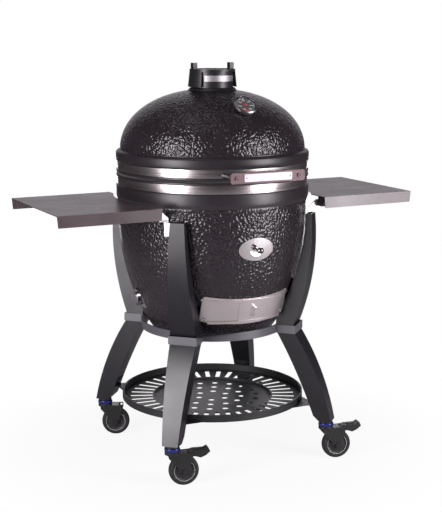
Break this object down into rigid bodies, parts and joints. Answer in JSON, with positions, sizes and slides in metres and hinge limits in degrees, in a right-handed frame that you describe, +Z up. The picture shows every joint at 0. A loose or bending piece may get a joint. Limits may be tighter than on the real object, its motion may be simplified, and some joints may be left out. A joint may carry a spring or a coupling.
{
  "type": "kamado grill",
  "caption": "Ceramic kamado grill with hinged dome, top vent, draft door and thermometer, on a wheeled cart with folding side shelves.",
  "frame": {"origin": "on the floor under the axis of the kettle", "axes": "+Z up along the kettle's axis, -Y to the front with the handle, +X to the right"},
  "size_m": [1.306, 0.797, 1.355],
  "materials": {
    "ceramic": "dark glazed ceramic, pebbled, smooth at the rims",
    "fire_clay": "bare fired clay",
    "felt": "black felt",
    "steel": "brushed stainless",
    "iron": "raw cast iron",
    "chrome": "polished",
    "plug_rubber": "black rubber",
    "black_paint": "black enamel",
    "screw_steel": "plain stainless",
    "dial_paint": "black dial",
    "glass": "clear",
    "needle_paint": "red",
    "cart_paint": "dark grey powder coat",
    "bracket_steel": "bright zinc",
    "shelf_paint": "brown-grey powder coat",
    "swivel_blue": "blue, glossy",
    "caster_black": "black",
    "hub_plastic": "black plastic",
    "tyre": "black rubber"
  },
  "bodies": {
    "cart": {"base_shell": "ceramic", "fire_box": "fire_clay", "fire_ring": "fire_clay", "lower_gasket": "felt", "lower_band": "steel", "draft_frame": "steel", "hinge_lower_bracket": "steel", "hinge_pin": "steel", "cooking_grate": "steel", "charcoal_grate": "iron", "port_collar": "chrome", "support_pads": "plug_rubber", "hinge_spring_case": "black_paint", "bottom_tray": "black_paint", "caster_stems": "black_paint", "frame_screws": "screw_steel", "ring_belt": "cart_paint", "arm_front_left": "cart_paint", "arm_front_right": "cart_paint", "arm_rear_right": "cart_paint", "arm_rear_left": "cart_paint", "leg_front_left": "cart_paint", "leg_front_right": "cart_paint", "leg_rear_right": "cart_paint", "leg_rear_left": "cart_paint", "shelf_brackets": "bracket_steel", "swivel_rings": "swivel_blue"},
    "lid": {"dome_shell": "ceramic", "upper_band": "steel", "upper_gasket": "felt", "handle_bar": "steel", "handle_posts": "black_paint", "label_plates": "steel", "hinge_upper_bracket": "steel", "lid_screws": "screw_steel", "thermometer_case": "chrome", "dial_face": "dial_paint", "dial_glass": "glass", "vent_drum": "black_paint"},
    "vent_cap": {"vent_cap": "black_paint"},
    "needle": {"needle": "needle_paint"},
    "draft_door": {"draft_door": "steel"},
    "feed_cover": {"feed_cover": "steel"},
    "port_plug": {"port_plug": "plug_rubber"},
    "left_shelf": {"left_shelf": "shelf_paint"},
    "right_shelf": {"right_shelf": "shelf_paint"},
    "pedal_front_left": {"pedal_front_left": "caster_black"},
    "pedal_front_right": {"pedal_front_right": "caster_black"},
    "caster_front_left": {"fork_front_left": "caster_black"},
    "wheel_front_left": {"hub_front_left": "hub_plastic", "tyre_front_left": "tyre"},
    "caster_front_right": {"fork_front_right": "caster_black"},
    "wheel_front_right": {"hub_front_right": "hub_plastic", "tyre_front_right": "tyre"},
    "caster_rear_right": {"fork_rear_right": "caster_black"},
    "wheel_rear_right": {"hub_rear_right": "hub_plastic", "tyre_rear_right": "tyre"},
    "caster_rear_left": {"fork_rear_left": "caster_black"},
    "wheel_rear_left": {"hub_rear_left": "hub_plastic", "tyre_rear_left": "tyre"}
  },
  "joints": [
    {"name": "lid_hinge", "type": "hinge", "parent": "cart", "child": "lid", "pos_m": [0, 0.3795, 0.984], "axis": [-1, 0, 0], "range_deg": [0, 75], "stiffness_Nm_per_rad": 65, "springref_deg": 90},
    {"name": "vent_turn", "type": "hinge", "parent": "lid", "child": "vent_cap", "pos_m": [0, 0, 1.3], "axis": [0, 0, 1], "range_deg": [0, 90]},
    {"name": "needle_turn", "type": "hinge", "parent": "lid", "child": "needle", "pos_m": [0, -0.24293, 1.22999], "axis": [0, 0.6428, -0.766], "range_deg": [0, 240]},
    {"name": "draft_slide", "type": "hinge", "parent": "cart", "child": "draft_door", "pos_m": [0, 0, 0.551], "axis": [0, 0, -1], "range_deg": [0, 20]},
    {"name": "feed_pull", "type": "slide", "parent": "cart", "child": "feed_cover", "axis": [0, -1, 0], "range_m": [0, 0.06]},
    {"name": "port_pull", "type": "slide", "parent": "cart", "child": "port_plug", "axis": [-1, 0, 0], "range_m": [0, 0.03]},
    {"name": "left_shelf_fold", "type": "hinge", "parent": "cart", "child": "left_shelf", "pos_m": [-0.31404, 0, 0.883], "axis": [0, -1, 0], "range_deg": [0, 90]},
    {"name": "right_shelf_fold", "type": "hinge", "parent": "cart", "child": "right_shelf", "pos_m": [0.31404, 0, 0.883], "axis": [0, 1, 0], "range_deg": [0, 90]},
    {"name": "swivel_front_left", "type": "hinge", "parent": "cart", "child": "caster_front_left", "pos_m": [-0.2927, -0.2927, 0.11], "axis": [0, 0, 1], "continuous": true},
    {"name": "spin_front_left", "type": "hinge", "parent": "caster_front_left", "child": "wheel_front_left", "pos_m": [-0.25553, -0.3006, 0.05], "axis": [0.2079, 0.9781, 0], "continuous": true},
    {"name": "brake_front_left", "type": "hinge", "parent": "caster_front_left", "child": "pedal_front_left", "pos_m": [-0.23597, -0.30476, 0.106], "axis": [0.2079, 0.9781, 0], "range_deg": [0, 10]},
    {"name": "swivel_front_right", "type": "hinge", "parent": "cart", "child": "caster_front_right", "pos_m": [0.2927, -0.2927, 0.11], "axis": [0, 0, 1], "continuous": true},
    {"name": "spin_front_right", "type": "hinge", "parent": "caster_front_right", "child": "wheel_front_right", "pos_m": [0.32987, -0.3006, 0.05], "axis": [0.2079, 0.9781, 0], "continuous": true},
    {"name": "brake_front_right", "type": "hinge", "parent": "caster_front_right", "child": "pedal_front_right", "pos_m": [0.34943, -0.30476, 0.106], "axis": [0.2079, 0.9781, 0], "range_deg": [0, 10]},
    {"name": "swivel_rear_right", "type": "hinge", "parent": "cart", "child": "caster_rear_right", "pos_m": [0.2927, 0.2927, 0.11], "axis": [0, 0, 1], "continuous": true},
    {"name": "spin_rear_right", "type": "hinge", "parent": "caster_rear_right", "child": "wheel_rear_right", "pos_m": [0.32686, 0.27604, 0.05], "axis": [0.4384, 0.8988, 0], "continuous": true},
    {"name": "swivel_rear_left", "type": "hinge", "parent": "cart", "child": "caster_rear_left", "pos_m": [-0.2927, 0.2927, 0.11], "axis": [0, 0, 1], "continuous": true},
    {"name": "spin_rear_left", "type": "hinge", "parent": "caster_rear_left", "child": "wheel_rear_left", "pos_m": [-0.25855, 0.27604, 0.05], "axis": [0.4384, 0.8988, 0], "continuous": true}
  ]
}
